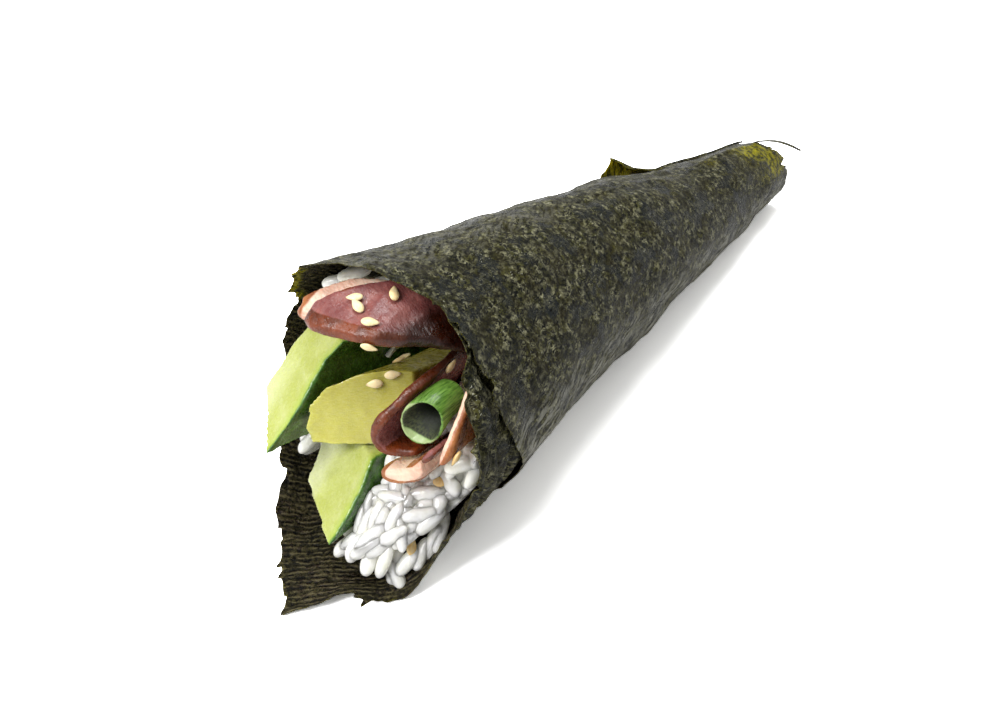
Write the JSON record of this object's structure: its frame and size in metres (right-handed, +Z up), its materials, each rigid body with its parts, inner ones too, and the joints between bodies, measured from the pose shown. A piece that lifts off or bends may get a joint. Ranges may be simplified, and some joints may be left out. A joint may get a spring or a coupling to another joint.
{
  "type": "temaki hand roll",
  "caption": "Hand roll of sushi: a sheet of nori wound to a slender cone round rice, cucumber, pickled radish, smoked duck and spring onion, lying on its side.",
  "frame": {"origin": "on the ground, in the middle of the bounding box", "axes": "+Y from the mouth to the narrow end, +Z up, +X to the side where the sheet's outside edge overlaps"},
  "size_m": [0.0584, 0.2026, 0.0589],
  "materials": {
    "nori": "satin dried seaweed, dark green to black",
    "rice": "moist white cooked rice",
    "cucumber": "wet cut flesh with dark green skin",
    "radish": "wet translucent yellow",
    "duck": "moist smoked meat with a glossy browned edge",
    "duck_fat": "moist pale fat with a browned edge",
    "onion": "fresh green leaf"
  },
  "bodies": {
    "root": {"nori": "nori", "rice": "rice", "cucumber_upper": "cucumber", "cucumber_lower": "cucumber", "pickled_radish": "radish", "duck_top": "duck", "duck_back": "duck_fat", "duck_curl": "duck", "duck_fat": "duck_fat", "duck_tip": "duck", "duck_side": "duck_fat", "spring_onion": "onion"}
  },
  "joints": []
}
